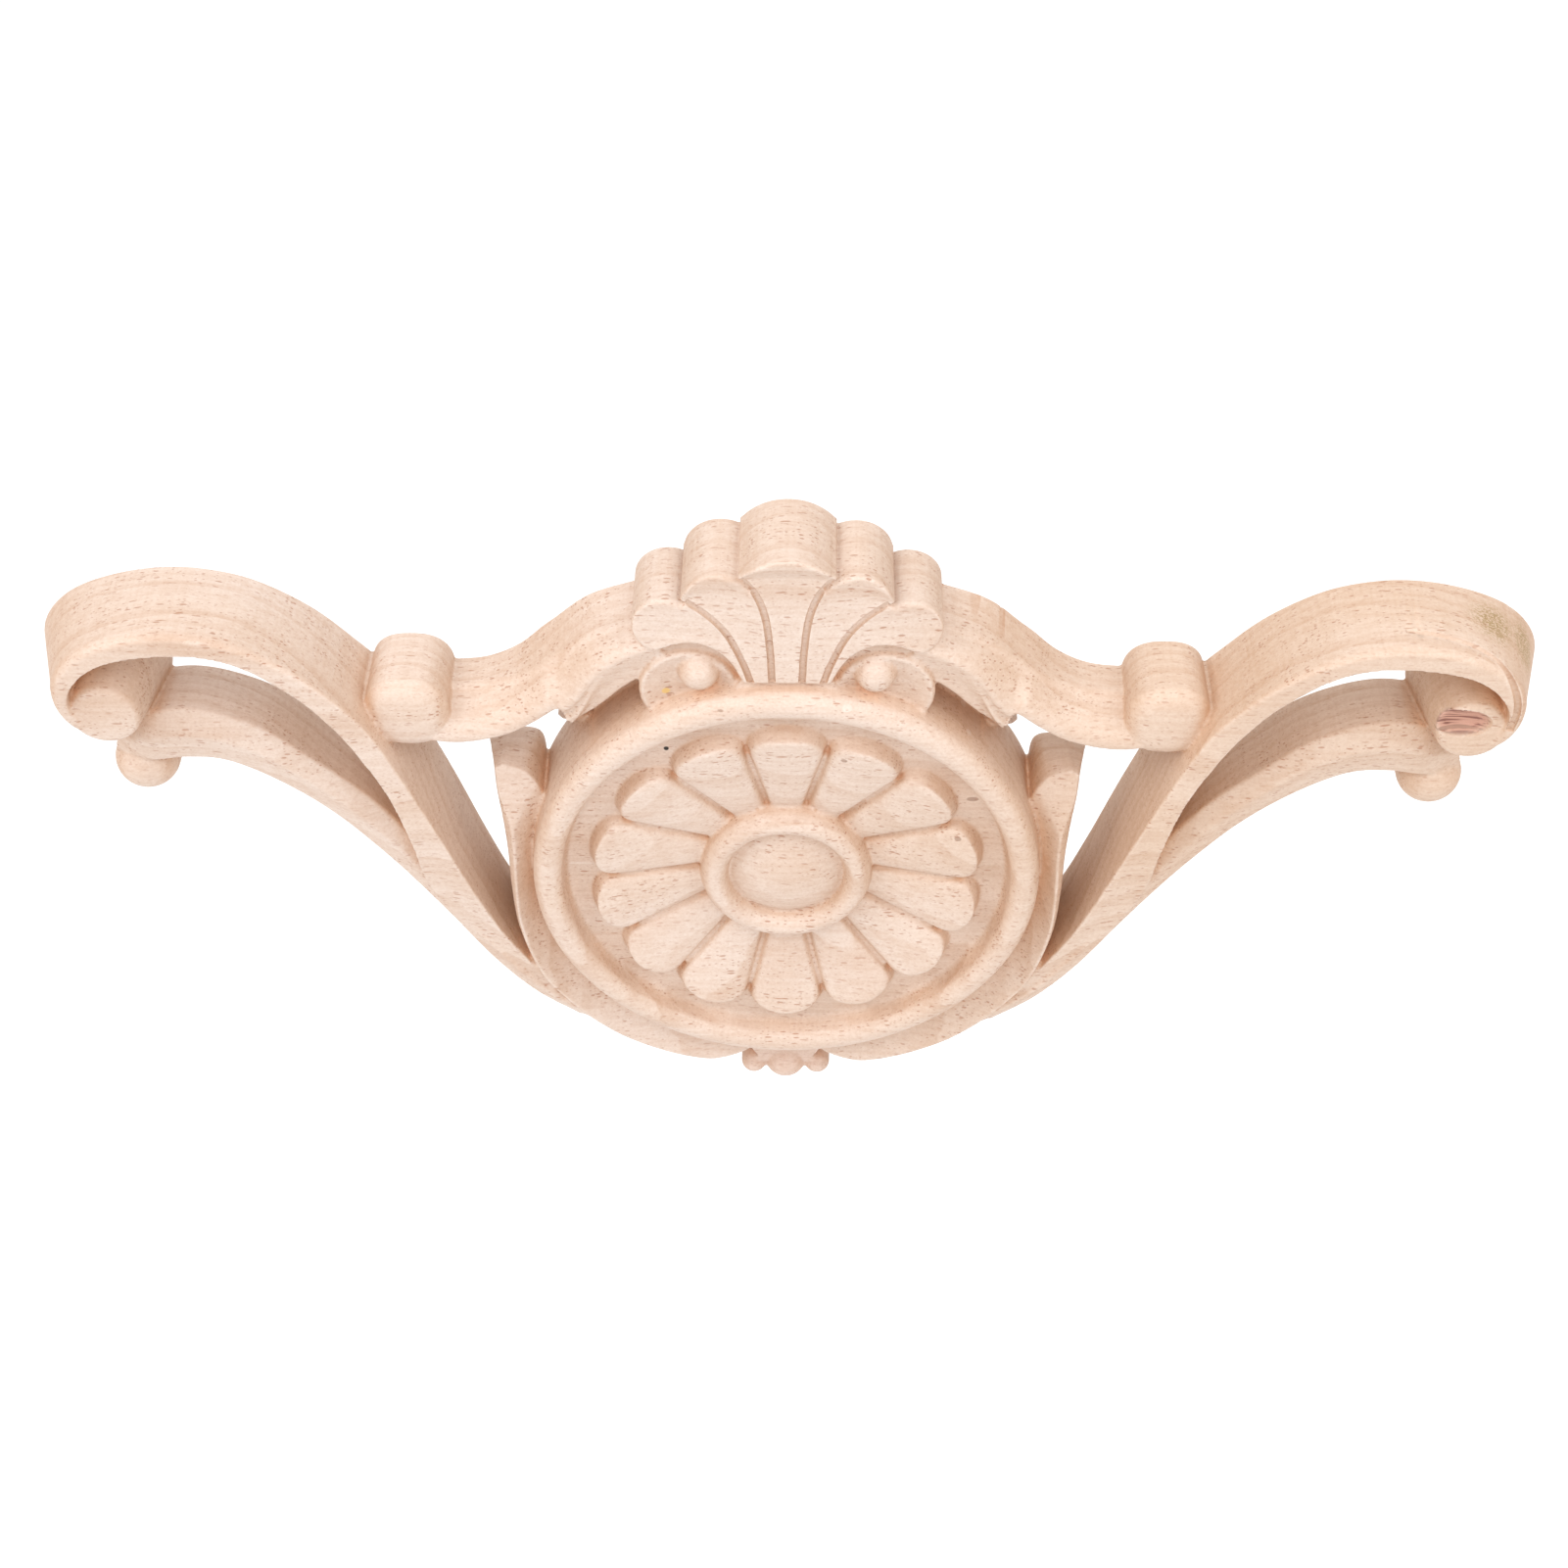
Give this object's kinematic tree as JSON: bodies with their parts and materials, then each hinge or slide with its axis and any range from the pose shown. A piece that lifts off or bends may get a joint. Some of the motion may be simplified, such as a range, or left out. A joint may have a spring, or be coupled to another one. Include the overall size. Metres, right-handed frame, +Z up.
{
  "type": "carved wood applique",
  "caption": "Bare rubberwood applique carved with a petalled rosette in a ring, a shell above it and a pair of scrolled arms.",
  "frame": {"origin": "middle of the rosette on the flat back", "axes": "+Y out of the flat back, so the carving rises towards -Y; +Z up, towards the shell; +X along the arms"},
  "size_m": [0.3074, 0.022, 0.16],
  "materials": {
    "rubberwood": "bare, sanded"
  },
  "bodies": {
    "root": {"applique": "rubberwood"}
  },
  "joints": []
}
